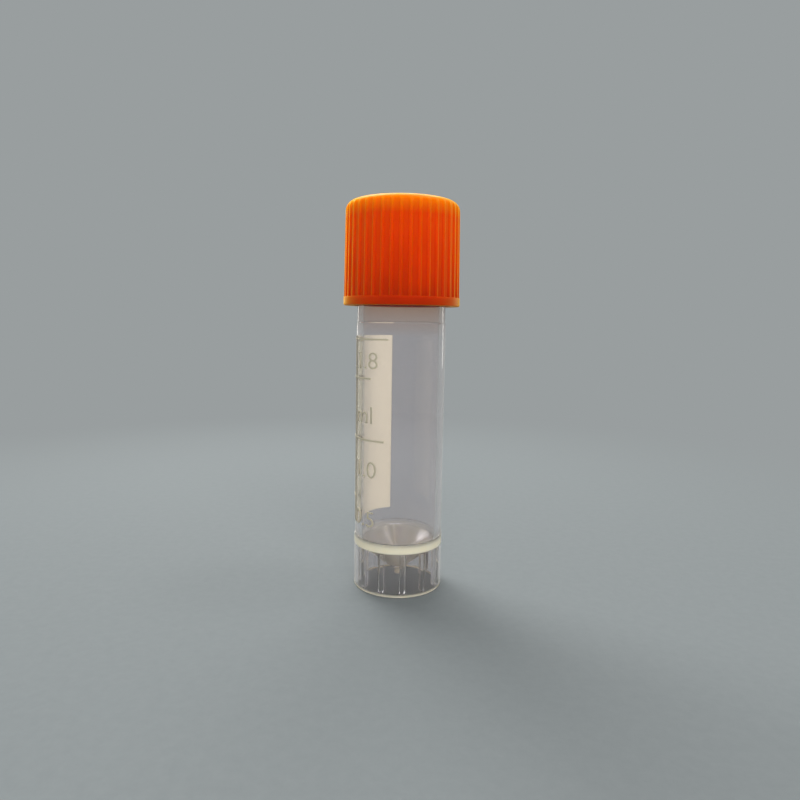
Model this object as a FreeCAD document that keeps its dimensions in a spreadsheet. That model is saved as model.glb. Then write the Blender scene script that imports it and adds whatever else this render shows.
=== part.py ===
import FreeCAD, Part
import os

import Sketcher
from FreeCAD import Placement, Rotation, Vector

# A self-standing cryogenic vial with an external-thread screw cap and a sealing ring.
# Millimetres and degrees, +Z up. The origin is on the vial's axis at the foot of the skirt.
# The vial stands on its skirt, and azimuth is counted from +X towards +Y.

# What can be set by itself: cell name, value, meaning.
SIZES = [
    ("bore_diameter", 9.25, "inside of the tube, which sets the volume per mm"),
    ("body_wall", 0.775, "wall of the straight body"),
    ("body_top", 32.6, "height of the step from body to neck"),
    ("neck_step", 0.07, "how far the neck stands back from the body"),
    ("neck_length", 12.05, "from that step's foot up to the tube's mouth"),
    ("rim_bevel", 0.2, "bevel of the mouth's two edges"),
    ("cone_top", 6.0, "height where the lines of bore and cone meet inside"),
    ("cone_round", 0.8, "radius of the turn from bore to cone"),
    ("cone_floor", 2.6, "height of the lowest point inside"),
    ("cone_tip_diameter", 0.7, "flat at the lowest point inside"),
    ("tip_wall", 0.95, "plastic under the lowest point"),
    ("gate_diameter", 0.75, "moulding gate's stub under the cone"),
    ("gate_length", 0.55, "length of that stub"),
    ("skirt_step", 0.08, "how far the skirt stands out from the body"),
    ("skirt_rise", 0.5, "how far up past the cone's edge the skirt reaches outside"),
    ("skirt_wall", 0.5, "wall of the skirt"),
    ("ring_depth", 0.57, "solid plastic from the cone's edge down to the hollow skirt"),
    ("skirt_bevel", 0.12, "bevel of the skirt's lower edges"),
    ("skirt_rib_count", 12, "ribs inside the skirt"),
    ("skirt_rib_width", 0.7, "width of one rib"),
    ("skirt_rib_depth", 0.5, "how far a rib stands in from the skirt's wall"),
    ("skirt_rib_start", 0.3, "height of a rib's round lower end"),
    ("skirt_rib_angle", 7, "azimuth of the first rib"),
    ("thread_lead", 2.5, "rise in one turn"),
    ("thread_height", 0.5, "height of the thread over its wall"),
    ("thread_crest_width", 0.6, "width of the thread's crest along the axis"),
    ("flank_slope", 0.58, "run of a flank along the axis for each mm of height"),
    ("fade_turns", 0.1, "share of a turn in which a thread's end sinks away"),
    ("neck_thread_depth", 6.5, "from the mouth down to the neck thread's lower end"),
    ("neck_thread_turns", 1.75, "turns of full thread on the neck"),
    ("neck_thread_angle", 20, "azimuth of the neck thread's lower end"),
    ("cap_thread_start", 1.9, "lower end of the cap thread above the cap's edge"),
    ("cap_thread_depth", 9.1, "from the top plate down to the cap thread's lower end"),
    ("cap_thread_turns", 1.75, "turns of full thread in the cap"),
    ("thread_clearance", 0.12, "radial gap between crest and wall, both ways"),
    ("thread_play", 0.1, "axial gap between the flanks that pull the cap down"),
    ("cap_wall", 0.82, "cap's side wall between grip ribs at its edge"),
    ("cap_draft", 0.17, "how much the cap's radius loses from edge to top"),
    ("cap_top_wall", 1.2, "cap's top plate"),
    ("cap_shoulder", 1.15, "radius of the cap's rounded top edge"),
    ("cap_band", 1.0, "height of the plain band at the cap's edge"),
    ("band_lip", 0.03, "how far the band stands out beyond the grip ribs"),
    ("cap_bevel", 0.12, "bevel of the cap's lower edges"),
    ("grip_rib_count", 40, "ribs round the cap"),
    ("grip_rib_width", 0.42, "width of one grip rib at the wall"),
    ("grip_rib_waist", 0.34, "width of the same rib where its top starts to round"),
    ("grip_rib_crest", 0.16, "width of its crest"),
    ("grip_rib_height", 0.2, "how far a grip rib stands out"),
    ("grip_rib_top", 0.08, "how much of that height is rounded"),
    ("grip_rib_angle", -1.25, "azimuth of the first grip rib"),
    ("pilot_clearance", 0.38, "radial gap between the pilot ring and the bore"),
    ("pilot_wall", 0.8, "wall of the pilot ring"),
    ("pilot_length", 2.6, "how far the pilot ring reaches down from the top plate"),
    ("pilot_lead", 0.3, "chamfer of the pilot ring's end"),
    ("bead_height", 0.2, "bead on the pilot ring that keeps the gasket in"),
    ("bead_length", 0.5, "length of that bead along the axis"),
    ("gasket_thickness", 1.0, "sealing ring between the rim and the top plate"),
    ("gasket_clearance", 0.07, "radial gap between the ring and the pilot, and under it"),
    ("gasket_margin", 0.25, "radial gap between the ring and the cap's wall"),
    ("gasket_bevel", 0.15, "bevel of the sealing ring's outer edges"),
    ("overlap", 0.05, "how far an added rib or thread is rooted in its wall"),
]

# What follows from those sizes: cell name and formula.
WORKED = [
    ("bore_radius", "bore_diameter / 2"),
    ("body_radius", "bore_radius + body_wall"),
    ("neck_radius", "body_radius - neck_step"),
    ("neck_bottom", "body_top + neck_step"),
    ("neck_rim", "body_top + neck_length"),
    ("cone_tip_radius", "cone_tip_diameter / 2"),
    ("cone_rise", "(cone_top - cone_floor) / (bore_radius - cone_tip_radius)"),
    ("cone_run", "sqrt(1 + cone_rise ^ 2)"),
    ("cone_round_reach", "cone_round * (cone_run - cone_rise)"),
    ("cone_round_top", "cone_top + cone_round_reach"),
    ("cone_round_foot", "cone_top - cone_round_reach * cone_rise / cone_run"),
    ("cone_round_end", "bore_radius - cone_round_reach / cone_run"),
    ("cone_round_centre", "bore_radius - cone_round"),
    ("gate_radius", "gate_diameter / 2"),
    ("gate_root", "cone_floor - tip_wall"),
    ("gate_end", "gate_root - gate_length"),
    ("skirt_radius", "body_radius + skirt_step"),
    ("skirt_top", "cone_top + skirt_rise"),
    ("skirt_shoulder", "skirt_top + skirt_step"),
    ("skirt_inside", "skirt_radius - skirt_wall"),
    ("skirt_ceiling", "cone_top - ring_depth"),
    ("skirt_rib_nose", "skirt_inside - skirt_rib_depth"),
    ("skirt_rib_length", "skirt_rib_depth + overlap"),
    ("skirt_rib_half", "skirt_rib_width / 2"),
    ("skirt_rib_arc", "skirt_rib_start + skirt_rib_half"),
    ("crest_half", "thread_crest_width / 2"),
    ("root_half", "crest_half + (thread_height + overlap) * flank_slope"),
    ("fade_angle", "atan((thread_height + overlap / 2) / (fade_turns * thread_lead))"),
    ("neck_crest", "neck_radius + thread_height"),
    ("neck_root", "neck_radius - overlap"),
    ("neck_thread_start", "neck_rim - neck_thread_depth"),
    ("neck_thread_end", "neck_thread_start + neck_thread_turns * thread_lead"),
    ("neck_thread_end_angle", "neck_thread_angle + neck_thread_turns * 360"),
    ("cap_bore", "neck_crest + thread_clearance"),
    ("cap_crest", "neck_radius + thread_clearance"),
    ("cap_root", "cap_bore + overlap"),
    ("thread_seat", "thread_crest_width + (neck_crest - cap_crest) * flank_slope + thread_play"),
    ("cap_ceiling", "cap_thread_start + cap_thread_depth"),
    ("cap_height", "cap_ceiling + cap_top_wall"),
    ("cap_base", "neck_rim + gasket_thickness - cap_ceiling"),
    ("cap_thread_end", "cap_thread_start + cap_thread_turns * thread_lead"),
    ("cap_thread_drop", "neck_thread_start - thread_seat - cap_base - cap_thread_start"),
    ("cap_thread_angle", "neck_thread_angle - 360 * cap_thread_drop / thread_lead"),
    ("cap_thread_end_angle", "cap_thread_angle + cap_thread_turns * 360"),
    ("cap_valley", "cap_bore + cap_wall"),
    ("cap_valley_top", "cap_valley - cap_draft"),
    ("grip_radius", "cap_valley + grip_rib_height"),
    ("band_radius", "grip_radius + band_lip"),
    ("grip_root_half", "grip_rib_width / 2"),
    ("grip_waist_half", "grip_rib_waist / 2"),
    ("grip_crest_half", "grip_rib_crest / 2"),
    ("grip_crest_low", "grip_radius"),
    ("grip_waist_low", "grip_crest_low - grip_rib_top"),
    ("grip_root_low", "cap_valley - overlap"),
    ("grip_crest_mid", "grip_crest_low - cap_draft"),
    ("grip_waist_mid", "grip_waist_low - cap_draft"),
    ("grip_root_mid", "grip_root_low - cap_draft"),
    ("grip_crest_high", "cap_valley_top - overlap"),
    ("grip_waist_high", "grip_crest_high - grip_rib_top"),
    ("grip_root_high", "grip_crest_high - grip_rib_height - overlap"),
    ("grip_rib_foot", "cap_band - overlap"),
    ("shoulder_outside", "grip_radius - cap_draft"),
    ("shoulder_centre", "shoulder_outside - cap_shoulder"),
    ("shoulder_height", "cap_height - cap_shoulder"),
    ("shoulder_edge", "shoulder_height + sqrt(cap_shoulder ^ 2 - (cap_valley_top - shoulder_centre) ^ 2)"),
    ("pilot_radius", "bore_radius - pilot_clearance"),
    ("pilot_inside", "pilot_radius - pilot_wall"),
    ("pilot_end", "cap_ceiling - pilot_length"),
    ("pilot_lead_top", "pilot_end + pilot_lead"),
    ("pilot_nose", "pilot_radius - pilot_lead"),
    ("bead_top", "cap_ceiling - gasket_thickness - gasket_clearance"),
    ("bead_crest", "pilot_radius + bead_height"),
    ("bead_lip", "bead_top - bead_height"),
    ("bead_foot", "bead_top - bead_length"),
    ("gasket_inside", "pilot_radius + gasket_clearance"),
    ("gasket_radius", "cap_bore - gasket_margin"),
]

# Words of the sketcher: the root point, the two axes, and the ends and centre of a curve.
ROOT_POINT, HORIZONTAL, VERTICAL = -1, -1, -2
START, END, CENTRE = 1, 2, 3

# Two lengths in mm that differ by less than this are the same one.
SAME_LENGTH = 1e-4

doc = FreeCAD.newDocument("cryovial")


def make_sheet():
    sheet = doc.addObject("Spreadsheet::Sheet", "sizes")
    rows = [(name, str(value), meaning) for name, value, meaning in SIZES]
    rows += [(name, "=" + formula, "worked out") for name, formula in WORKED]
    for row, (name, content, meaning) in enumerate(rows, start=1):
        sheet.set(f"A{row}", meaning)
        sheet.set(f"B{row}", content)
        sheet.setAlias(f"B{row}", name)
    doc.recompute()
    return sheet


sheet = make_sheet()


def size(name):
    """The number in a cell, negative where the name starts with a minus."""
    number = sheet.get(name.lstrip("-"))
    number = getattr(number, "Value", number)
    return -number if name.startswith("-") else number


def bound(name):
    """The same cell as an expression."""
    return name.replace("-", "-sizes.") if name.startswith("-") else "sizes." + name


def new_body(label):
    body = doc.addObject("PartDesign::Body", label)
    body.Label = label
    return body


def new_sketch(body, role, name, height=None, spin=None, out=None):
    """A sketch on one of the body's own planes, raised and turned about the body's axis, and
    for an upright one set off from that axis by out."""
    sketch = body.newObject("Sketcher::SketchObject", name)
    plane = next(item for item in body.Origin.OriginFeatures if item.Role == role)
    sketch.AttachmentSupport = [(plane, "")]
    sketch.MapMode = "FlatFace"
    # Local up is Y in an upright sketch and Z in a level one.
    axis = Vector(0, 1, 0) if role == "XZ_Plane" else Vector(0, 0, 1)
    sketch.AttachmentOffset = Placement(Vector(0, 0, 0), Rotation(axis, 1))
    turn = bound(spin) if spin else "0"
    if height:
        letter = "y" if role == "XZ_Plane" else "z"
        sketch.setExpression(f"AttachmentOffset.Base.{letter}", bound(height))
    if out:
        sketch.setExpression("AttachmentOffset.Base.x", f"{bound(out)} * sin({turn})")
        sketch.setExpression("AttachmentOffset.Base.z", f"{bound(out)} * cos({turn})")
    sketch.setExpression("AttachmentOffset.Rotation.Angle", turn)
    return sketch


def set_distance(sketch, kind, curve, point, name):
    """Ties a point of a curve to a cell, which gives its distance from the root point."""
    rule = Sketcher.Constraint(kind, ROOT_POINT, START, curve, point, size(name))
    number = sketch.addConstraint(rule)
    sketch.setExpression(f"Constraints[{number}]", bound(name))


def hold(sketch, curve, point, across, up):
    """Ties a point of a curve to two cells, or to an axis of the sketch where a name is None."""
    for kind, name, axis in (("DistanceX", across, VERTICAL), ("DistanceY", up, HORIZONTAL)):
        if name:
            set_distance(sketch, kind, curve, point, name)
        else:
            sketch.addConstraint(Sketcher.Constraint("PointOnObject", curve, point, axis))


def place(across, up):
    return Vector(size(across) if across else 0, size(up) if up else 0, 0)


def outline(sketch, corners, arcs=None):
    """A closed run of lines through corners that are named by their cells, counter-clockwise.
    arcs gives, for the number of a corner, the centre and radius of the arc that leaves it, with
    a minus before the radius where that arc turns clockwise."""
    arcs = arcs or {}
    count = len(corners)
    points = [place(*corner) for corner in corners]
    ends = [(START, END)] * count
    for index, point in enumerate(points):
        following = points[(index + 1) % count]
        if index not in arcs:
            sketch.addGeometry(Part.LineSegment(point, following), False)
            continue
        across, up, radius = arcs[index]
        whole = Part.Circle(place(across, up), Vector(0, 0, 1), abs(size(radius)))
        angles = [whole.parameter(point), whole.parameter(following)]
        if radius.startswith("-"):
            angles.reverse()
            ends[index] = (END, START)
        sketch.addGeometry(Part.ArcOfCircle(whole, *angles), False)
    for index, corner in enumerate(corners):
        before = (index - 1) % count
        first = ends[index][0]
        sketch.addConstraint(Sketcher.Constraint("Coincident", before, ends[before][1], index, first))
        hold(sketch, index, first, *corner)
    for index, (_, up, _) in arcs.items():
        set_distance(sketch, "DistanceY", index, CENTRE, up)


def revolve(body, kind, sketch, name):
    feature = body.newObject(kind, name)
    feature.Profile = sketch
    feature.ReferenceAxis = (sketch, ["V_Axis"])
    feature.Angle = 360
    doc.recompute()
    return feature


def ring_edges(shape, *rings):
    """Names of the circular edges that lie at the given radius and height, both named cells."""
    found = []
    for radius, height in rings:
        for number, edge in enumerate(shape.Edges, start=1):
            curve = edge.Curve
            if not isinstance(curve, Part.Circle):
                continue
            off = abs(curve.Radius - size(radius)) + abs(curve.Center.z - (size(height) if height else 0))
            if off < SAME_LENGTH:
                found.append(f"Edge{number}")
    if len(found) < len(rings):
        raise RuntimeError(f"an edge to bevel is missing among {rings}")
    return found


def bevel(body, base, width, name, *rings):
    feature = body.newObject("PartDesign::Chamfer", name)
    feature.Base = (base, ring_edges(base.Shape, *rings))
    feature.setExpression("Size", bound(width))
    doc.recompute()
    return feature


def repeat(body, feature, count, name):
    pattern = body.newObject("PartDesign::PolarPattern", name)
    pattern.Originals = [feature]
    axis = next(item for item in body.Origin.OriginFeatures if item.Role == "Z_Axis")
    pattern.Axis = (axis, [""])
    pattern.Angle = 360
    pattern.setExpression("Occurrences", bound(count))
    body.Tip = pattern
    doc.recompute()
    return pattern


def helix(body, sketch, name, turns, cone=None, downwards=False):
    """Carries a thread's section up or down the lead; cone is the angle at which it leaves its wall."""
    feature = body.newObject("PartDesign::AdditiveHelix", name)
    feature.Profile = sketch
    feature.ReferenceAxis = (sketch, ["V_Axis"])
    feature.Mode = "pitch-turns-angle"
    feature.Reversed = downwards
    feature.setExpression("Pitch", bound("thread_lead"))
    feature.setExpression("Turns", bound(turns))
    if cone:
        feature.setExpression("Angle", bound(cone))
    doc.recompute()
    return feature


def thread(body, side, crest, root, cone):
    """A helical thread between two walls' radii, with both ends sinking into the wall."""
    name = side + "_thread"
    section = [(root, "-root_half"), (crest, "-crest_half"), (crest, "crest_half"), (root, "root_half")]
    start = new_sketch(body, "XZ_Plane", name + "_section", name + "_start", name + "_angle")
    end = new_sketch(body, "XZ_Plane", name + "_end_section", name + "_end", name + "_end_angle")
    for sketch in (start, end):
        outline(sketch, section)
    helix(body, start, name, name + "_turns")
    helix(body, start, name + "_fade_in", "fade_turns", cone, downwards=True)
    return helix(body, end, name + "_fade_out", "fade_turns", cone)


def make_tube():
    """The tube is one moulding: skirt, conical bottom, straight body and threaded neck."""
    tube = new_body("tube")
    wall = new_sketch(tube, "XZ_Plane", "tube_section")
    corners = [
        (None, "gate_end"),
        ("gate_radius", "gate_end"),
        ("gate_radius", "gate_root"),
        ("skirt_inside", "skirt_ceiling"),
        ("skirt_inside", None),
        ("skirt_radius", None),
        ("skirt_radius", "skirt_top"),
        ("body_radius", "skirt_shoulder"),
        ("body_radius", "body_top"),
        ("neck_radius", "neck_bottom"),
        ("neck_radius", "neck_rim"),
        ("bore_radius", "neck_rim"),
        ("bore_radius", "cone_round_top"),
        ("cone_round_end", "cone_round_foot"),
        ("cone_tip_radius", "cone_floor"),
        (None, "cone_floor"),
    ]
    turn = corners.index(("bore_radius", "cone_round_top"))
    outline(wall, corners, {turn: ("cone_round_centre", "cone_round_top", "-cone_round")})
    turned = revolve(tube, "PartDesign::Revolution", wall, "tube_wall")
    mouth = bevel(tube, turned, "rim_bevel", "mouth",
                  ("neck_radius", "neck_rim"), ("bore_radius", "neck_rim"))
    bevel(tube, mouth, "skirt_bevel", "skirt_foot",
          ("skirt_radius", None), ("skirt_inside", None))

    # One rib, drawn as seen from the axis with a round lower end, reaches out into the skirt's
    # wall. It stops where the cone meets that wall.
    rib = new_sketch(tube, "XZ_Plane", "skirt_rib_face", spin="skirt_rib_angle", out="skirt_rib_nose")
    outline(rib, [
        ("-skirt_rib_half", "skirt_rib_arc"),
        ("skirt_rib_half", "skirt_rib_arc"),
        ("skirt_rib_half", "skirt_ceiling"),
        ("-skirt_rib_half", "skirt_ceiling"),
    ], {0: (None, "skirt_rib_arc", "skirt_rib_half")})
    upright = tube.newObject("PartDesign::Pad", "skirt_rib")
    upright.Profile = rib
    upright.setExpression("Length", bound("skirt_rib_length"))
    doc.recompute()
    repeat(tube, upright, "skirt_rib_count", "skirt_ribs")
    tube.Tip = thread(tube, "neck", "neck_crest", "neck_root", "-fade_angle")
    return tube


def make_cap():
    """The cap, drawn from its own lower edge: side wall, top plate and pilot ring."""
    cap = new_body("cap")
    wall = new_sketch(cap, "XZ_Plane", "cap_section")
    corners = [
        (None, "cap_ceiling"),
        ("pilot_inside", "cap_ceiling"),
        ("pilot_inside", "pilot_end"),
        ("pilot_nose", "pilot_end"),
        ("pilot_radius", "pilot_lead_top"),
        ("pilot_radius", "bead_foot"),
        ("bead_crest", "bead_lip"),
        ("bead_crest", "bead_top"),
        ("pilot_radius", "bead_top"),
        ("pilot_radius", "cap_ceiling"),
        ("cap_bore", "cap_ceiling"),
        ("cap_bore", None),
        ("band_radius", None),
        ("band_radius", "cap_band"),
        ("cap_valley", "cap_band"),
        ("cap_valley_top", "shoulder_edge"),
        ("shoulder_centre", "cap_height"),
        (None, "cap_height"),
    ]
    shoulder = corners.index(("cap_valley_top", "shoulder_edge"))
    outline(wall, corners, {shoulder: ("shoulder_centre", "shoulder_height", "cap_shoulder")})
    turned = revolve(cap, "PartDesign::Revolution", wall, "cap_wall_turned")
    bevel(cap, turned, "cap_bevel", "cap_edge", ("band_radius", None), ("cap_bore", None))

    # A round-topped grip rib leans in with the wall's draft and sinks away in the shoulder.
    levels = []
    for level, height in (("low", "grip_rib_foot"), ("mid", "shoulder_height"), ("high", "shoulder_edge")):
        section = new_sketch(cap, "XY_Plane", f"grip_rib_{level}_section", height, "grip_rib_angle")
        outline(section, [
            ("grip_root_" + level, "-grip_root_half"),
            ("grip_waist_" + level, "-grip_waist_half"),
            ("grip_crest_" + level, "-grip_crest_half"),
            ("grip_crest_" + level, "grip_crest_half"),
            ("grip_waist_" + level, "grip_waist_half"),
            ("grip_root_" + level, "grip_root_half"),
        ])
        levels.append(section)
    rib = cap.newObject("PartDesign::AdditiveLoft", "grip_rib")
    rib.Profile = levels[0]
    rib.Sections = levels[1:]
    rib.Ruled = True
    doc.recompute()
    repeat(cap, rib, "grip_rib_count", "grip_ribs")
    cap.Tip = thread(cap, "cap", "cap_crest", "cap_root", "fade_angle")
    cap.setExpression("Placement.Base.z", bound("cap_base"))
    doc.recompute()
    return cap


def make_gasket():
    """The sealing ring fills the space between the neck's rim and the cap's top plate."""
    gasket = new_body("gasket")
    section = new_sketch(gasket, "XZ_Plane", "gasket_section")
    outline(section, [
        ("gasket_inside", None),
        ("gasket_radius", None),
        ("gasket_radius", "gasket_thickness"),
        ("gasket_inside", "gasket_thickness"),
    ])
    turned = revolve(gasket, "PartDesign::Revolution", section, "gasket_ring")
    bevel(gasket, turned, "gasket_bevel", "gasket_edges",
          ("gasket_radius", None), ("gasket_radius", "gasket_thickness"))
    gasket.setExpression("Placement.Base.z", bound("neck_rim"))
    doc.recompute()
    return gasket


def write_parts(bodies):
    for item in doc.Objects:
        if {"Invalid", "Error"} & set(item.State):
            raise RuntimeError(f"{item.Name} failed: {item.State}")
    for body in bodies:
        shape = body.Shape
        if shape.isNull() or not shape.isValid() or len(shape.Solids) != 1:
            raise RuntimeError(f"{body.Label} isn't one sound solid")
    os.makedirs("parts", exist_ok=True)
    for body in bodies:
        body.Shape.exportStep(f"parts/{body.Label}.step")
        print(f"{body.Label}: {body.Shape.Volume:.1f} cubic mm")


write_parts([make_tube(), make_cap(), make_gasket()])
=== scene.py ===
import math

import bmesh
import bpy
import numpy as np
from mathutils import Matrix, Vector


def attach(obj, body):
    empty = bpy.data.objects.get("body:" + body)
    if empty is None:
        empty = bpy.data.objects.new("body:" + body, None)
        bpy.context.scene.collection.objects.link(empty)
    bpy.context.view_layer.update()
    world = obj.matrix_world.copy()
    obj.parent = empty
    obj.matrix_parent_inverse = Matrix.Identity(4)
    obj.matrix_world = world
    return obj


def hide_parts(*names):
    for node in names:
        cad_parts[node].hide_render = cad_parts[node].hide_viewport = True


# A self-standing cryogenic vial with an orange screw cap, on a pale floor with an even backdrop.
# The dictionaries are in millimetres and degrees, as in the CAD. Meshes, and the lengths inside
# materials, are in metres. Heights are above the skirt's foot, azimuths run from +X towards +Y.

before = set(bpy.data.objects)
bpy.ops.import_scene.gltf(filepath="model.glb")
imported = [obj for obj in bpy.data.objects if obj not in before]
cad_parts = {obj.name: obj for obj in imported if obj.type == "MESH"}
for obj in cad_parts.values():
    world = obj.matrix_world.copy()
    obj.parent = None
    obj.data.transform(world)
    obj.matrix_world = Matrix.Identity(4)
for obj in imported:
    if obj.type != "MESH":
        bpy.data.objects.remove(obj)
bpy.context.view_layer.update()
mm = 0.001
fullTurn = 2 * math.pi
print("frame loaded:", sorted(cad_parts))


def hexColour(text):
    # sRGB hex to linear red, green, blue and alpha 1
    shares = np.array([int(text[i:i + 2], 16) for i in (0, 2, 4)]) / 255
    linear = np.where(shares <= 0.04045, shares / 12.92, ((shares + 0.055) / 1.055) ** 2.4)
    return (*linear.tolist(), 1.0)


def addObject(name, verts, faces, material, mergeWithin=0.0):
    # verts in mm; corners nearer than mergeWithin become one, which closes poles and seams
    mesh = bpy.data.meshes.new(name)
    mesh.from_pydata((np.asarray(verts) * mm).tolist(), [], np.asarray(faces).tolist())
    if mergeWithin:
        work = bmesh.new()
        work.from_mesh(mesh)
        bmesh.ops.remove_doubles(work, verts=work.verts, dist=mergeWithin * mm)
        bmesh.ops.dissolve_degenerate(work, edges=work.edges, dist=mergeWithin * mm)
        work.to_mesh(mesh)
        work.free()
    mesh.polygons.foreach_set("use_smooth", np.ones(len(mesh.polygons), bool))
    mesh.materials.append(material)
    piece = bpy.data.objects.new(name, mesh)
    bpy.context.scene.collection.objects.link(piece)
    return piece


def gridFaces(rows, columns, wrapColumns=False):
    # quads between neighbours of a rows by columns grid, each turned so that its normal is
    # (along a row) x (along a column)
    i = np.arange(rows - 1)[:, None]
    j = np.arange(columns if wrapColumns else columns - 1)[None, :]
    i2, j2 = i + 1, (j + 1) % columns
    corner = [i * columns + j, i * columns + j2, i2 * columns + j2, i2 * columns + j]
    return np.stack(np.broadcast_arrays(*corner), axis=-1).reshape(-1, 4)


def softProfile(corners):
    # A section drawn as straight runs between corners (r, z, rounding, step), where each corner
    # is replaced by an arc of that radius, tangent to both of its runs, and the run that leaves
    # it gets a point every step mm. An arc takes less than half of either run. Returns r, z and
    # the number of the run for every point.
    arcPoints, mostOfRun = 5, 0.49
    line, runs = [], []
    places = np.array([corner[:2] for corner in corners], float)
    for k, (_, _, rounding, step) in enumerate(corners):
        here = places[k]
        points = here[None, :]
        if rounding and 0 < k < len(corners) - 1:
            before, after = places[k - 1] - here, places[k + 1] - here
            long, longAfter = np.linalg.norm(before), np.linalg.norm(after)
            a, b = before / long, after / longAfter
            half = np.arccos(np.clip(a @ b, -1, 1)) / 2
            reach = min(rounding / math.tan(half), mostOfRun * long, mostOfRun * longAfter)
            radius = reach * math.tan(half)
            middle = here + (a + b) / np.linalg.norm(a + b) * radius / math.sin(half)
            start, end = here + a * reach - middle, here + b * reach - middle
            share = np.linspace(0, 1, arcPoints)[:, None]
            swing = math.pi - 2 * half
            arc = np.sin((1 - share) * swing) * start + np.sin(share * swing) * end
            points = middle + arc / math.sin(swing)
        if k:
            # the straight run that arrives here, without its two ends
            count = max(math.ceil(np.linalg.norm(points[0] - tail) / runStep), 1)
            share = np.linspace(0, 1, count + 1)[1:-1, None]
            line.append(tail + (points[0] - tail) * share)
            runs += [k - 1] * (count - 1)
        line.append(points)
        runs += [k] * len(points)
        tail, runStep = points[-1], step
    r, z = np.concatenate(line).T
    return r, z, np.array(runs)


def turned(name, radius, height, angle, material):
    # Turns a section about the axis: point (i, j) is at (R cos a, R sin a, Z) with R and Z of row
    # i and column j, so a rib or thread is an R that changes with the angle.
    radius, height, angle = np.broadcast_arrays(radius, height, angle[None, :])
    verts = np.stack([radius * np.cos(angle), radius * np.sin(angle), height], axis=-1)
    faces = gridFaces(*radius.shape, wrapColumns=True)
    return addObject(name, verts.reshape(-1, 3), faces, material, mergeWithin=1e-4)


def ridge(angle, height, thread):
    # Height of a helical thread over its wall: a flat crest with straight flanks about the line
    # z = start + lead * turn, where turn counts from the thread's own angle. It sinks to nothing
    # over a share of a turn at each end.
    found = np.zeros(np.broadcast_shapes(angle.shape, height.shape))
    for lap in range(-1, math.ceil(thread["turns"]) + 1):
        travel = (np.degrees(angle) - thread["angle"]) % 360 / 360 + lap
        centre = thread["start"] + thread["lead"] * travel
        past = np.maximum(-travel, travel - thread["turns"])
        left = np.clip(1 - np.maximum(past, 0) / thread["fadeTurns"], 0, 1)
        flank = (thread["crestWidth"] / 2 - np.abs(height - centre)) / thread["flankSlope"]
        found = np.maximum(found, np.clip(flank + thread["height"], 0, thread["height"]) * left)
    return found


def ribAngles(count, first, offsets, radius):
    # azimuths, in radians, of a rib's own corner lines at offsets in mm round the given radius
    centres = first + np.arange(count) * 360 / count
    return (np.radians(centres)[:, None] + np.asarray(offsets)[None, :] / radius).ravel() % fullTurn


def fromRib(angle, ribs, radius):
    # distance in mm, round the given radius, from the middle of the nearest rib
    pitch = fullTurn / ribs["count"]
    return ((angle - math.radians(ribs["angle"]) + pitch / 2) % pitch - pitch / 2) * radius


def setShare(piece, name, shares):
    # a number from 0 to 1 for each corner, which a material reads by its name
    layer = piece.data.attributes.new(name, "FLOAT", "POINT")
    every = np.broadcast_to(shares, len(piece.data.vertices))
    layer.data.foreach_set("value", every.astype(np.float32))


def newMaterial(name):
    # a material whose node tree is still empty
    material = bpy.data.materials.new(name)
    material.use_nodes = True
    material.node_tree.nodes.clear()
    return material


def addNode(material, kind, inputs=None, **settings):
    # one node with its settings; an input takes a value, another node or one of its outputs
    node = material.node_tree.nodes.new("ShaderNode" + kind)
    for key, value in settings.items():
        setattr(node, key, value)
    for key, value in (inputs or {}).items():
        if isinstance(value, bpy.types.Node):
            value = value.outputs[0]
        if isinstance(value, bpy.types.NodeSocket):
            material.node_tree.links.new(value, node.inputs[key])
        else:
            node.inputs[key].default_value = value
    return node


# the numbers of a Mix node's two colours and of its result
mixFrom, mixTo, mixOut = 6, 7, 2


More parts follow.
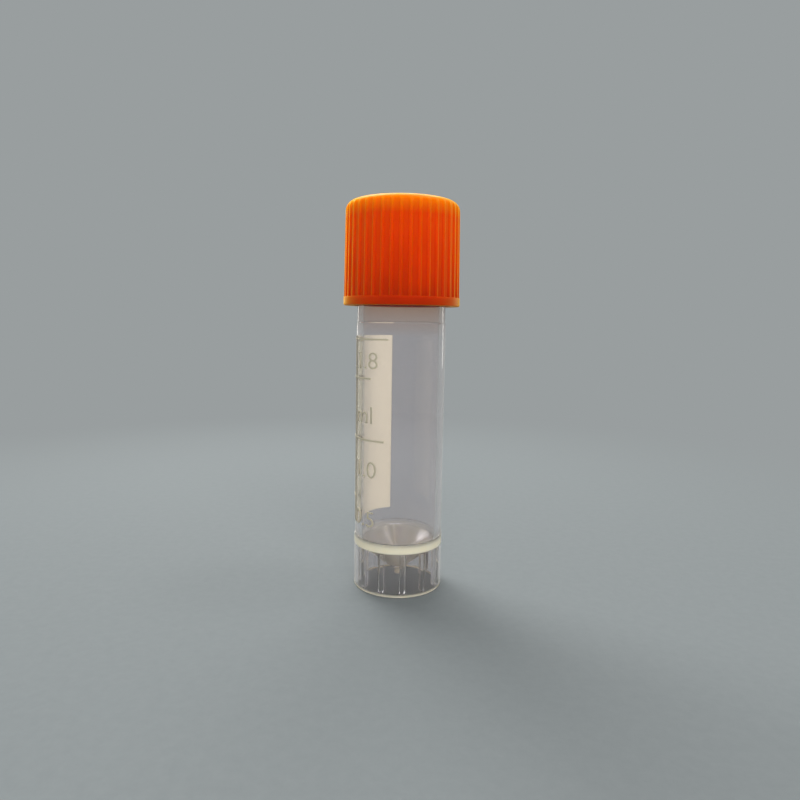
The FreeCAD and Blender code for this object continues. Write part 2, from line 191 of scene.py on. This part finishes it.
def naturalPolypropylene():
    # Uncoloured polypropylene, injection moulded in a polished cavity: clear enough to read
    # through, and where the wall is thick a creamy white that light passes from both sides. The
    # attribute milkAndGlint says for each corner how much of it is white: the thick plastic's own
    # white, and the painted highlights on the skirt's foot and the cone.
    m = newMaterial("naturalPolypropylene")
    place = addNode(m, "TexCoord").outputs["Object"]
    milkAndGlint = addNode(m, "Attribute", attribute_name="milkAndGlint").outputs["Fac"]
    # seen from inside, the line of sight leaves the plastic at once and meets less of the white
    inside = addNode(m, "NewGeometry").outputs["Backfacing"]
    less = addNode(m, "MapRange", {"Value": inside, "To Min": 1.0, "To Max": 0.35})
    milkAndGlint = addNode(m, "Math", {0: milkAndGlint, 1: less}, operation="MULTIPLY")
    # flow lines of the melt, about 0.8 mm apart and eight times as long along the tube
    stretched = addNode(m, "Mapping", {"Vector": place, "Scale": (1, 1, 0.12)})
    flow = addNode(m, "TexNoise", {"Vector": stretched, "Scale": 1200.0, "Detail": 2.0})
    rough = addNode(m, "MapRange", {"Value": flow, "To Min": 0.03, "To Max": 0.07})
    # the polished cavity still leaves a faint waviness along the flow lines
    wave = addNode(m, "Bump", {"Height": flow, "Strength": 0.04, "Distance": 0.00002})
    # painted shade: near the cap the clear plastic is tinted darker and warmer, standing in for the
    # cap's shadow and the orange light it throws on the neck
    height = addNode(m, "SeparateXYZ", {"Vector": place}).outputs["Z"]
    capShadeBand = addNode(m, "MapRange", {"Value": height, "From Min": 0.031, "From Max": 0.0345})
    tint = addNode(m, "Mix", {
        "Factor": capShadeBand, mixFrom: hexColour("F6F2F5"), mixTo: hexColour("F4DDD0"),
    }, data_type="RGBA").outputs[mixOut]
    clear = addNode(m, "BsdfPrincipled", {
        "Base Color": tint,
        "Roughness": rough,
        "IOR": 1.49,
        "Transmission Weight": 1.0,
        "Sheen Weight": 0.3,
        "Sheen Roughness": 0.5,
        "Sheen Tint": hexColour("FFF8F0"),
        "Normal": wave,
    })
    cream = addNode(m, "Mix", {
        "Factor": flow, mixFrom: hexColour("FEF0D2"), mixTo: hexColour("FFF6E0"),
    }, data_type="RGBA").outputs[mixOut]
    white = addNode(m, "BsdfPrincipled", {
        "Base Color": cream,
        "Roughness": 0.3,
        "IOR": 1.49,
        "Subsurface Weight": 0.4,
        "Subsurface Radius": (1.0, 1.0, 1.0),
        "Subsurface Scale": 0.0008,
    })
    # a quarter of what the white scatters comes out on the far side
    through = addNode(m, "BsdfTranslucent", {"Color": cream})
    cloudy = addNode(m, "MixShader", {0: 0.25, 1: white, 2: through})
    plastic = addNode(m, "MixShader", {0: milkAndGlint, 1: clear, 2: cloudy})
    addNode(m, "OutputMaterial", {"Surface": plastic})
    return m


def texturedPolypropylene():
    # The same plastic where the mould is spark eroded, so that raised figures show as a pale
    # frost of pits under 0.1 mm across.
    m = newMaterial("texturedPolypropylene")
    place = addNode(m, "TexCoord").outputs["Object"]
    pits = addNode(m, "TexNoise", {"Vector": place, "Scale": 14000.0, "Detail": 3.0})
    frost = addNode(m, "Bump", {"Height": pits, "Strength": 0.4, "Distance": 0.00001})
    tone = addNode(m, "Mix", {
        "Factor": pits, mixFrom: hexColour("C8BEA6"), mixTo: hexColour("D2C8B0"),
    }, data_type="RGBA").outputs[mixOut]
    plastic = addNode(m, "BsdfPrincipled", {
        "Base Color": tone,
        "Roughness": 0.45,
        "IOR": 1.49,
        "Transmission Weight": 0.2,
        "Normal": frost,
    })
    addNode(m, "OutputMaterial", {"Surface": plastic})
    return m


def orangePolypropylene():
    # Polypropylene coloured right through, moulded with a satin texture of 0.1 mm grain; thin
    # edges glow because light spreads about two millimetres into the plastic. Painted light and
    # shade: the orange is painted brighter towards the top, where light comes in through the lid,
    # and deeper red down at the band, with the boundary wandering in clouds of 4 mm.
    m = newMaterial("orangePolypropylene")
    place = addNode(m, "TexCoord").outputs["Object"]
    height = addNode(m, "SeparateXYZ", {"Vector": place}).outputs["Z"]
    cloud = addNode(m, "TexNoise", {"Vector": place, "Scale": 260.0, "Detail": 2.0})
    uneven = addNode(m, "Math", {0: cloud, 1: 0.004, 2: height}, operation="MULTIPLY_ADD")
    # painted light: 0 at the band and 1 near the top, where the orange is painted brighter
    paintedTopLight = addNode(m, "MapRange", {"Value": uneven, "From Min": 0.037, "From Max": 0.046})
    pigmentWithTopLight = addNode(m, "Mix", {
        "Factor": paintedTopLight, mixFrom: hexColour("B62400"), mixTo: hexColour("FF4200"),
    }, data_type="RGBA").outputs[mixOut]
    # painted glow: round the shoulder the colour is painted yellower, standing in for light that
    # passes straight through the corner
    level = addNode(m, "VectorMath", {0: place, 1: (1, 1, 0)}, operation="MULTIPLY")
    fromAxis = addNode(m, "VectorMath", {0: level}, operation="LENGTH").outputs["Value"]
    outer = addNode(m, "MapRange", {"Value": fromAxis, "From Min": 0.0045, "From Max": 0.0062},
                    interpolation_type="SMOOTHSTEP")
    upper = addNode(m, "MapRange", {"Value": height, "From Min": 0.0447, "From Max": 0.0468})
    corner = addNode(m, "Math", {0: outer, 1: upper}, operation="MULTIPLY")
    colour = addNode(m, "Mix", {
        "Factor": corner, mixFrom: pigmentWithTopLight, mixTo: hexColour("FF8400"),
    }, data_type="RGBA").outputs[mixOut]
    grain = addNode(m, "TexNoise", {"Vector": place, "Scale": 9000.0, "Detail": 3.0})
    satin = addNode(m, "Bump", {"Height": grain, "Strength": 0.2, "Distance": 0.00001})
    plastic = addNode(m, "BsdfPrincipled", {
        "Base Color": colour,
        "Roughness": 0.34,
        "IOR": 1.49,
        "Specular IOR Level": 0.12,
        "Subsurface Weight": 0.9,
        "Subsurface Radius": (0.4, 0.35, 0.08),
        "Subsurface Scale": 0.005,
        "Sheen Weight": 0.8,
        "Sheen Roughness": 0.45,
        "Sheen Tint": hexColour("FFD000"),
        "Normal": satin,
    })
    addNode(m, "OutputMaterial", {"Surface": plastic})
    return m


def siliconeRubber():
    # Translucent white silicone, moulded with a matt skin that holds specks of dust 0.3 mm apart.
    m = newMaterial("siliconeRubber")
    place = addNode(m, "TexCoord").outputs["Object"]
    dust = addNode(m, "TexNoise", {"Vector": place, "Scale": 3000.0, "Detail": 4.0})
    rough = addNode(m, "MapRange", {"Value": dust, "To Min": 0.5, "To Max": 0.7})
    skin = addNode(m, "Bump", {"Height": dust, "Strength": 0.2, "Distance": 0.00001})
    rubber = addNode(m, "BsdfPrincipled", {
        "Base Color": hexColour("D9D8D2"),
        "Roughness": rough,
        "IOR": 1.41,
        "Subsurface Weight": 0.4,
        "Subsurface Scale": 0.0006,
        "Normal": skin,
    })
    addNode(m, "OutputMaterial", {"Surface": rubber})
    return m


def screenInk():
    # Cream epoxy ink, screen printed: a matt film with the mesh's faint 0.15 mm weave, thin
    # enough that three quarters of its light goes through. The attribute root is 1 on the side
    # that sticks to the wall, which holds almost no light back.
    m = newMaterial("screenInk")
    place = addNode(m, "TexCoord").outputs["Object"]
    weave = addNode(m, "TexNoise", {"Vector": place, "Scale": 6500.0, "Detail": 1.0})
    film = addNode(m, "Bump", {"Height": weave, "Strength": 0.3, "Distance": 0.00001})
    tone = addNode(m, "Mix", {
        "Factor": weave, mixFrom: hexColour("EEEADB"), mixTo: hexColour("F5F1E4"),
    }, data_type="RGBA").outputs[mixOut]
    face = addNode(m, "BsdfPrincipled", {"Base Color": tone, "Roughness": 0.55, "Normal": film})
    through = addNode(m, "BsdfTranslucent", {"Color": tone})
    root = addNode(m, "Attribute", attribute_name="root").outputs["Fac"]
    share = addNode(m, "MapRange", {"Value": root, "To Min": 0.75, "To Max": 0.97})
    ink = addNode(m, "MixShader", {0: share, 1: face, 2: through})
    addNode(m, "OutputMaterial", {"Surface": ink})
    return m


plasticClear = naturalPolypropylene()
plasticFrosted = texturedPolypropylene()
plasticOrange = orangePolypropylene()
silicone = siliconeRubber()
ink = screenInk()
print("materials made")

tube = {
    "boreRadius": 4.625, "bodyRadius": 5.4, "neckRadius": 5.33, "bodyTop": 32.6, "rim": 44.65,
    "coneTop": 6.0, "coneRound": 0.8, "coneFloor": 2.6, "coneTipRadius": 0.35,
    "gateRadius": 0.375, "gateRoot": 1.65, "gateEnd": 1.1,
    "skirtRadius": 5.48, "skirtInside": 4.98, "skirtTop": 6.5, "skirtCeiling": 5.43,
    "columns": 180,
    # heights between which the neck has finer rows for its thread
    "threadFoot": 37.2, "threadTop": 43.8,
    "thread": {"start": 38.15, "angle": 20, "turns": 1.75, "lead": 2.5, "height": 0.5,
               "crestWidth": 0.6, "flankSlope": 0.58, "fadeTurns": 0.1},
    "ribs": {"count": 12, "angle": 7, "width": 0.7, "depth": 0.5, "start": 0.3, "edge": 0.08},
    "core": {"radius": 0.34, "foot": 1.15, "top": 2.55},
    # how white each place is, the heights at which the white is none and full, and the radii
    # and heights that bound the places
    "white": {"gate": 0.9, "cone": 0.35, "wall": 0.03, "bore": 0.01,
              "ringFoot": (5.36, 5.44), "ringTop": (6.6, 6.05), "gateTop": (3.0, 2.8),
              "footHighlightTop": (0.28, 0.22), "outsideFrom": 4.9, "gateWithin": 0.6, "coneWithin": 4.7,
              "coneFrom": 2.5, "coneTo": 5.9, "mouthFrom": 37},
    # painted highlights on the cone, white streaks standing in for glints: azimuth, spread and how
    # white
    "coneGlints": [(113, 4, 0.2), (98, 2.5, 0.15), (30, 5, 0.15), (205, 6, 0.15), (300, 5, 0.15)],
}


def tubeSurface():
    # The section runs from the gate out under the cone, down inside the skirt, up outside to the
    # rim, and down the bore to the middle of the cone.
    t, ribs = tube, tube["ribs"]
    neckFoot = t["bodyTop"] + t["bodyRadius"] - t["neckRadius"]
    r, z, run = softProfile([
        (0, t["gateEnd"], 0, 0.2),
        (t["gateRadius"], t["gateEnd"], 0.06, 0.2),
        (t["gateRadius"], t["gateRoot"], 0.12, 0.25),
        (t["skirtInside"], t["skirtCeiling"], 0.05, 0.25),
        (t["skirtInside"], 1.0, 0, 0.05),
        (t["skirtInside"], 0, 0.1, 0.1),
        (t["skirtRadius"], 0, 0.14, 0.3),
        (t["skirtRadius"], t["skirtCeiling"] - 0.1, 0, 0.1),
        (t["skirtRadius"], t["skirtCeiling"] + 0.1, 0, 0.3),
        (t["skirtRadius"], t["skirtTop"] - 0.08, 0, 0.1),
        (t["skirtRadius"], t["skirtTop"], 0.04, 0.1),
        (t["bodyRadius"], t["skirtTop"] + 0.08, 0.05, 0.5),
        (t["bodyRadius"], t["bodyTop"], 0.03, 0.05),
        (t["neckRadius"], neckFoot, 0.03, 0.5),
        (t["neckRadius"], t["threadFoot"], 0, 0.1),
        (t["neckRadius"], t["threadTop"], 0, 0.2),
        (t["neckRadius"], t["rim"], 0.2, 0.1),
        (t["boreRadius"], t["rim"], 0.2, 1.0),
        (t["boreRadius"], t["coneTop"], t["coneRound"], 0.4),
        (t["coneTipRadius"], t["coneFloor"], 0.3, 0.1),
        (0, t["coneFloor"], 0, 0.1),
    ])
    # the runs from the gate's root to the skirt's foot, which carry the ribs
    ribbed = np.isin(run, (2, 3, 4))[:, None]
    half = ribs["width"] / 2
    edges = [half - 0.08, half - 0.04, half, half + 0.02]
    offsets = [-e for e in edges] + [0] + edges
    angle = np.concatenate([
        np.linspace(0, fullTurn, t["columns"], endpoint=False),
        ribAngles(ribs["count"], ribs["angle"], offsets, t["skirtInside"]),
    ])
    angle = np.unique(angle.round(5))
    r, z, a = r[:, None], z[:, None], angle[None, :]
    # Under the cone and inside the skirt a rib stands in from the wall: full depth within its
    # width, rounded off over its edge, and ending below in a half circle.
    side = fromRib(a, ribs, t["skirtInside"])
    below = np.minimum(z - ribs["start"] - half, 0)
    inwards = np.clip((half - np.hypot(side, below)) / ribs["edge"], 0, 1)
    inwards = np.sqrt(1 - (1 - inwards) ** 2)
    nose = t["skirtInside"] - ribs["depth"] * inwards
    slope = (t["skirtCeiling"] - t["gateRoot"]) / (t["skirtInside"] - t["gateRadius"])
    ceiling = t["skirtCeiling"] - (t["skirtInside"] - nose) * slope
    radius = np.where(ribbed, np.minimum(r, nose), r)
    height = np.where(ribbed & (r > nose), np.minimum(z, ceiling), z)
    # the thread may stand anywhere on the neck's straight wall, up to the rim's rounding
    onNeck = (np.abs(r - t["neckRadius"]) < 0.01) & (z < t["rim"] - 0.15)
    radius = radius + np.where(onNeck, ridge(a, z, t["thread"]), 0)
    return turned("tubeMoulding", radius, height, angle, plasticClear)


def ramp(value, none, full):
    # 0 where value is at none, 1 where it is at full, and straight between
    return np.clip((value - none) / (full - none), 0, 1)


def milkAndGlintShares(moulding):
    # The share of light that a corner scatters: a trace outside and round the mouth, almost none
    # in the bore, and most on the solid ring between cone and skirt and round the gate. The skirt's
    # foot is made white as a painted highlight for the bright line along its rim. The cone has a
    # haze, with painted highlights, white streaks that run up it from the gate, each a bell curve
    # of the azimuth, standing in for glints. Where places overlap, the whitest counts.
    white = tube["white"]
    place = np.zeros(len(moulding.data.vertices) * 3)
    moulding.data.vertices.foreach_get("co", place)
    x, y, z = place.reshape(-1, 3).T / mm
    r = np.hypot(x, y)
    outside = r > white["outsideFrom"]
    ring = ramp(z, *white["ringFoot"]) * ramp(z, *white["ringTop"]) * outside
    gate = ramp(z, *white["gateTop"]) * (r < white["gateWithin"]) * white["gate"]
    # painted highlight: the lowest quarter millimetre of the skirt's foot is made white, standing
    # in for the bright line along its rim
    foot = ramp(z, *white["footHighlightTop"])
    azimuth = np.degrees(np.arctan2(y, x)) % 360
    # painted highlights: white streaks on the cone, standing in for glints of light on it
    streaks = sum(share * np.exp(-((azimuth - middle) / spread) ** 2)
                  for middle, spread, share in tube["coneGlints"])
    onCone = (z > white["coneFrom"]) & (z < white["coneTo"]) & (r < white["coneWithin"])
    cone = onCone * (white["cone"] + streaks)
    wall = np.where(outside | (z > white["mouthFrom"]), white["wall"], white["bore"])
    setShare(moulding, "milkAndGlint", np.max([ring, gate, foot, cone, wall], axis=0))


def gateCore():
    # The plug of melt that froze last, white inside the clear tip. It is a rod with domed ends:
    # half a circle (R cos s, R sin s), parted at s = 0 to the rod's length and turned round.
    core = tube["core"]
    swing = np.radians(np.linspace(-90, 90, 16))
    r = core["radius"] * np.cos(swing)
    ends = np.where(swing < 0, core["foot"] + core["radius"], core["top"] - core["radius"])
    z = ends + core["radius"] * np.sin(swing)
    angle = np.linspace(0, fullTurn, 32, endpoint=False)
    rod = turned("gateCore", r[:, None], z[:, None], angle, plasticClear)
    setShare(rod, "milkAndGlint", 1)
    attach(rod, "tube")


tubeMoulding = tubeSurface()
milkAndGlintShares(tubeMoulding)
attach(tubeMoulding, "tube")
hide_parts("tube")
gateCore()
print("tube:", len(tubeMoulding.data.vertices), "corners")

marks = {
    # height of each volume line, and the azimuths of its ends
    "lines": [(30.7, 170, 255), (26.1, 170, 231), (18.8, 170, 251), (11.4, 170, 198)],
    "lineWidth": 0.22, "lineCorner": 0.09,
    # words, azimuth of the middle, height of the foot of the figures, height of the figures
    "words": [("1.8", 221, 27.24, 2.1), ("ml", 217.6, 20.8, 2.2), ("1.0", 220, 14.3, 2.1),
              ("0.5", 219, 8.28, 2.05)],
    # how far figures and lines stand out of the wall and reach into it
    "rise": 0.1, "root": 0.03,
    # figures: their share of the font's size, width over the font's, and how much thinner
    "figureShare": 0.73, "stretch": 1.15, "thinner": 0.04,
}


def raisedWord(name, text, azimuth, foot, tall):
    # Figures cut from the font's outlines and laid round the body: x along the text becomes an
    # angle x / R, y a height, and the front stands a tenth of a millimetre out of the wall.
    deep = (marks["rise"] + marks["root"]) / 2
    curve = bpy.data.curves.new(name, "FONT")
    curve.body = text
    curve.size = tall / marks["figureShare"]
    curve.align_x = "CENTER"
    curve.extrude = deep
    curve.offset = -marks["thinner"]
    curve.resolution_u = 5
    holder = bpy.data.objects.new(name + "Curve", curve)
    bpy.context.scene.collection.objects.link(holder)
    bpy.context.view_layer.update()
    flat = bpy.data.meshes.new_from_object(holder)
    bpy.data.objects.remove(holder)
    # edges over half a millimetre are cut in three, so that they can follow the wall
    work = bmesh.new()
    work.from_mesh(flat)
    bmesh.ops.remove_doubles(work, verts=work.verts, dist=1e-4)
    bmesh.ops.triangulate(work, faces=work.faces)
    long = [edge for edge in work.edges if edge.calc_length() > 0.5]
    bmesh.ops.subdivide_edges(work, edges=long, cuts=2)
    bmesh.ops.triangulate(work, faces=work.faces)
    work.to_mesh(flat)
    work.free()
    place = np.zeros(len(flat.vertices) * 3)
    flat.vertices.foreach_get("co", place)
    place = place.reshape(-1, 3)
    radius = tube["bodyRadius"] - marks["root"] + place[:, 2] + deep
    angle = math.radians(azimuth) + marks["stretch"] * place[:, 0] / tube["bodyRadius"]
    bent = np.stack([radius * np.cos(angle), radius * np.sin(angle), foot + place[:, 1]], axis=-1)
    flat.vertices.foreach_set("co", (bent * mm).ravel())
    flat.materials.clear()
    flat.materials.append(plasticFrosted)
    flat.update()
    piece = bpy.data.objects.new(name, flat)
    bpy.context.scene.collection.objects.link(piece)
    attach(piece, "tube")


for text, azimuth, foot, tall in marks["words"]:
    raisedWord("figures_" + text.replace(".", "_"), text, azimuth, foot, tall)

patch = {"first": 103, "last": 200, "foot": 8.2, "top": 31.05, "corner": 0.12, "film": 0.03,
         "gap": 0.004}


def wrappedPlate(name, angles, heights, radii, corner, material):
    # A plate between two radii over a window of angle and height, whose corners are rounded by
    # narrowing the rows near foot and top as a quarter circle. Its front and back are the same
    # grid at both radii, and a band round their edges joins them.
    (first, last), (foot, top), (inner, outer) = angles, heights, radii
    cornerRows, wallRows, columns = 7, 40, 60
    tall = top - foot
    high = np.concatenate([
        np.linspace(0, corner, cornerRows),
        np.linspace(corner, tall - corner, wallRows)[1:-1],
        np.linspace(tall - corner, tall, cornerRows),
    ])
    near = np.maximum(np.maximum(corner - high, high - tall + corner), 0) / corner
    narrower = corner * (1 - np.sqrt(np.maximum(1 - near ** 2, 0)))
    halfWidth = math.radians(last - first) / 2 * outer - narrower
    across = np.linspace(-1, 1, columns)
    angle = math.radians(first + last) / 2 + halfWidth[:, None] * across[None, :] / outer
    height = np.broadcast_to(foot + high[:, None], angle.shape)
    front = np.stack([outer * np.cos(angle), outer * np.sin(angle), height], -1)
    back = front * (inner / outer, inner / outer, 1)
    rows, count = len(high), angle.size
    faces = gridFaces(rows, columns)
    # the corners round the grid's edge: foot, last column, top backwards, first column down
    edge = np.concatenate([
        np.arange(columns),
        np.arange(1, rows) * columns + columns - 1,
        (rows - 1) * columns + np.arange(columns - 2, -1, -1),
        np.arange(rows - 2, 0, -1) * columns,
    ])
    following = np.roll(edge, -1)
    rim = np.stack([edge, edge + count, following + count, following], axis=-1)
    verts = np.concatenate([front.reshape(-1, 3), back.reshape(-1, 3)])
    faces = np.concatenate([faces, faces[:, ::-1] + count, rim])
    piece = addObject(name, verts, faces, material)
    setShare(piece, "root", np.repeat([0, 1], count))
    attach(piece, "tube")


body, half = tube["bodyRadius"], marks["lineWidth"] / 2
for number, (level, first, last) in enumerate(marks["lines"]):
    wrappedPlate(f"volumeLine{number + 1}", (first, last), (level - half, level + half),
                 (body - marks["root"], body + marks["rise"]), marks["lineCorner"], plasticFrosted)

wrappedPlate("writingPatch", (patch["first"], patch["last"]), (patch["foot"], patch["top"]),
             (body + patch["gap"], body + patch["film"]), patch["corner"], ink)
print("marks and patch made")

cap = {
    "base": 34.65, "height": 12.2, "bore": 5.95, "ceiling": 11.0, "valley": 6.77, "draft": 0.17,
    "ribHeight": 0.2, "bandRadius": 7.0, "band": 1.0, "shoulder": 1.15, "pilotRadius": 4.245,
    "pilotInside": 3.445, "pilotEnd": 8.4, "pilotLead": 0.3, "beadCrest": 4.445, "beadTop": 9.93,
    # half of a grip rib's section, as offsets from its middle and heights over the valley, and
    # the offsets of the corner lines across the valley
    "ribs": {"count": 40, "angle": -1.25, "offsets": [0, 0.08, 0.17, 0.21],
             "heights": [0.2, 0.2, 0.12, 0], "valleyLines": [0.37, 0.53, 0.69]},
    "shoulderSteps": 12,
    # heights in the bore between which its rows are finer for the thread
    "threadFoot": 0.8, "threadTop": 7.4,
    "thread": {"start": 1.9, "angle": 0, "turns": 1.75, "lead": 2.5, "height": 0.5,
               "crestWidth": 0.6, "flankSlope": 0.58, "fadeTurns": 0.1},
    "threadPlay": 0.1,
}


def threadAngle():
    # The cap's thread lies against the underside of the neck's, so its angle follows from the
    # starts of both: their centres are a crest, the flanks' overlap and the play apart.
    outer, inner = cap["thread"], tube["thread"]
    overlap = tube["neckRadius"] + inner["height"] - (cap["bore"] - outer["height"])
    seat = outer["crestWidth"] + overlap * outer["flankSlope"] + cap["threadPlay"]
    drop = inner["start"] - seat - cap["base"] - outer["start"]
    return inner["angle"] - 360 * drop / outer["lead"]


cap["thread"]["angle"] = threadAngle()


def capSurface():
    # The section runs from the middle of the ceiling round the pilot ring, down the bore, and up
    # outside to the middle of the top.
    c, ribs = cap, cap["ribs"]
    crest = c["valley"] + c["ribHeight"]
    top = crest - c["draft"]
    inner = [
        (0, c["ceiling"], 0, 0.5),
        (c["pilotInside"], c["ceiling"], 0.15, 0.3),
        (c["pilotInside"], c["pilotEnd"], 0.1, 0.2),
        (c["pilotRadius"] - c["pilotLead"], c["pilotEnd"], 0.05, 0.1),
        (c["pilotRadius"], c["pilotEnd"] + c["pilotLead"], 0.05, 0.2),
        (c["pilotRadius"], c["beadTop"] - 0.5, 0.02, 0.1),
        (c["beadCrest"], c["beadTop"] - 0.2, 0.05, 0.1),
        (c["beadCrest"], c["beadTop"], 0.03, 0.1),
        (c["pilotRadius"], c["beadTop"], 0.03, 0.2),
        (c["pilotRadius"], c["ceiling"], 0.05, 0.3),
        (c["bore"], c["ceiling"], 0.1, 0.3),
        (c["bore"], c["threadTop"], 0, 0.11),
        (c["bore"], c["threadFoot"], 0, 0.1),
        (c["bore"], 0, 0.12, 0.2),
        (c["bandRadius"], 0, 0.12, 0.2),
        (c["bandRadius"], c["band"], 0.06, 0.02),
    ]
    grip = [
        (crest - 0.004, c["band"], 0, 0.02),
        (crest, c["band"] + 0.03, 0, 0.45),
        (top, c["height"] - c["shoulder"], 0, 0.1),
    ]
    for s in np.radians(np.linspace(0, 90, c["shoulderSteps"] + 1)[1:]):
        grip.append((top - c["shoulder"] * (1 - math.cos(s)),
                     c["height"] - c["shoulder"] * (1 - math.sin(s)), 0, 0.3))
    grip.append((0, c["height"], 0, 1))
    r, z, run = softProfile(inner + grip)
    edges = ribs["offsets"]
    offsets = [-e for e in edges[1:]] + edges + ribs["valleyLines"]
    angle = np.unique(ribAngles(ribs["count"], ribs["angle"], offsets, c["valley"]).round(5))
    r, z, a = r[:, None], z[:, None], angle[None, :]
    # Between grip ribs the wall lies back to its valley, and a rib's section is a height over
    # that valley by its distance from the rib's middle. Neither stands out of the crest's line.
    rib = np.interp(np.abs(fromRib(a, ribs, c["valley"])), edges, ribs["heights"])
    valley = c["valley"] - c["draft"] * z / c["height"]
    outside = (run >= len(inner))[:, None]
    radius = np.where(outside, np.minimum(r, valley + rib), r)
    onBore = (np.abs(r - c["bore"]) < 1e-6) & (z > 0.5) & (z < c["threadTop"] + 0.2)
    radius = radius - np.where(onBore, ridge(a, z, c["thread"]), 0)
    return turned("capMoulding", radius, z + c["base"], angle, plasticOrange)


capMoulding = capSurface()
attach(capMoulding, "cap")
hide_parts("cap")
print("cap:", len(capMoulding.data.vertices), "corners")

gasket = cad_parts["gasket"]
gasket.data.materials.clear()
gasket.data.materials.append(silicone)
print("sealing ring dressed")

studio = {
    # half the floor's side, and how far from the vial it fades into the backdrop
    "floor": 2000, "fadeFrom": 45, "fadeTo": 150,
    "backdrop": "999E9F", "air": "F2F6F8", "airStrength": 0.6,
    # each lamp's place, size, watts and colour, whether it shows in gloss and whether in glass
    "lamps": {
        "backLamp": ((-30, 230, 330), (300, 200), 1.0, "FFFFFF", True, True),
        "backLeftLamp": ((-170, 250, 260), (220, 160), 1.3, "FFFFFF", False, True),
        "topRightLamp": ((153, 17, 365), (60, 60), 0.15, "FFFFFF", True, True),
        "leftStrip": ((-141, 265, 110), (24, 220), 0.05, "FFFAF2", True, False),
        "rightStrip": ((215, 230, 110), (40, 220), 0.05, "FFFAF2", True, False),
        "frontLamp": ((60, -320, 220), (300, 200), 0.9, "FFFFFF", False, True),
    },
    "lampsAimAt": (0, 0, 24),
}
view = {"lens": 28.8, "sensor": 36, "place": (0, -78.42, 32.73), "pitch": -6.937, "roll": 0.913}


def seenDirectly(tree):
    # 1 for what the camera sees, straight or in gloss or glass, and 0 for light that spreads
    path = addNode(tree, "LightPath")
    seen = path.outputs["Is Camera Ray"]
    for kind in ("Is Glossy Ray", "Is Transmission Ray"):
        seen = addNode(tree, "Math", {0: seen, 1: path.outputs[kind]}, operation="MAXIMUM")
    depth = path.outputs["Diffuse Depth"]
    unspread = addNode(tree, "Math", {0: depth, 1: 0.5}, operation="LESS_THAN")
    return addNode(tree, "Math", {0: seen, 1: unspread}, operation="MULTIPLY")


def palePaper():
    # Seamless background paper, matt, with a fibre of about 1 mm that you can just see. It fades
    # into the plain backdrop's colour away from the vial.
    m = newMaterial("palePaper")
    place = addNode(m, "TexCoord").outputs["Object"]
    fibre = addNode(m, "TexNoise", {
        "Vector": place, "Scale": 900.0, "Detail": 5.0, "Roughness": 0.7,
    })
    tone = addNode(m, "Mix", {
        "Factor": fibre, mixFrom: hexColour("6A6F70"), mixTo: hexColour("747979"),
    }, data_type="RGBA").outputs[mixOut]
    paper = addNode(m, "BsdfPrincipled", {"Base Color": tone, "Roughness": 0.9})
    away = addNode(m, "VectorMath", {0: place}, operation="LENGTH").outputs["Value"]
    far = addNode(m, "MapRange", {
        "Value": away, "From Min": studio["fadeFrom"] * mm, "From Max": studio["fadeTo"] * mm,
    }, interpolation_type="SMOOTHSTEP")
    share = addNode(m, "Math", {0: far, 1: seenDirectly(m)}, operation="MULTIPLY")
    plain = addNode(m, "Emission", {"Color": hexColour(studio["backdrop"])})
    floor = addNode(m, "MixShader", {0: share, 1: paper, 2: plain})
    addNode(m, "OutputMaterial", {"Surface": floor})
    return m


paper = palePaper()
floorCorners = np.array([(-1, -1, 0), (1, -1, 0), (1, 1, 0), (-1, 1, 0)]) * studio["floor"]
addObject("studioFloor", floorCorners, [(0, 1, 2, 3)], paper)

for name, (place, size, watts, colour, inGloss, inGlass) in studio["lamps"].items():
    # a soft box that faces the middle of the vial
    lamp = bpy.data.lights.new(name, "AREA")
    lamp.shape = "RECTANGLE"
    lamp.size, lamp.size_y = size[0] * mm, size[1] * mm
    lamp.energy = watts
    lamp.color = hexColour(colour)[:3]
    holder = bpy.data.objects.new(name, lamp)
    holder.location = Vector(place) * mm
    aim = Vector(studio["lampsAimAt"]) * mm - holder.location
    holder.rotation_mode = "QUATERNION"
    holder.rotation_quaternion = aim.to_track_quat("-Z", "Y")
    holder.visible_camera = False
    holder.visible_glossy, holder.visible_transmission = inGloss, inGlass
    bpy.context.scene.collection.objects.link(holder)

# the air lights evenly, and where it is seen it has the backdrop's colour
air = bpy.data.worlds.new("studioAir")
bpy.context.scene.world = air
air.use_nodes = True
air.node_tree.nodes.clear()
light = addNode(air, "Background", {
    "Color": hexColour(studio["air"]), "Strength": studio["airStrength"],
})
plain = addNode(air, "Background", {"Color": hexColour(studio["backdrop"])})
both = addNode(air, "MixShader", {0: seenDirectly(air), 1: light, 2: plain})
addNode(air, "OutputWorld", {"Surface": both})

lens = bpy.data.cameras.new("camera")
lens.lens, lens.sensor_width = view["lens"], view["sensor"]
lens.clip_start, lens.clip_end = 0.002, 10
camera = bpy.data.objects.new("camera", lens)
# looking along +Y, tipped down, then rolled about the line of sight
tip = Matrix.Rotation(math.radians(90 + view["pitch"]), 4, "X")
roll = Matrix.Rotation(math.radians(view["roll"]), 4, "Z")
camera.matrix_world = Matrix.Translation(Vector(view["place"]) * mm) @ (tip @ roll)
bpy.context.scene.collection.objects.link(camera)
bpy.context.scene.camera = camera
bpy.context.scene.view_settings.view_transform = "Standard"
print("studio set")
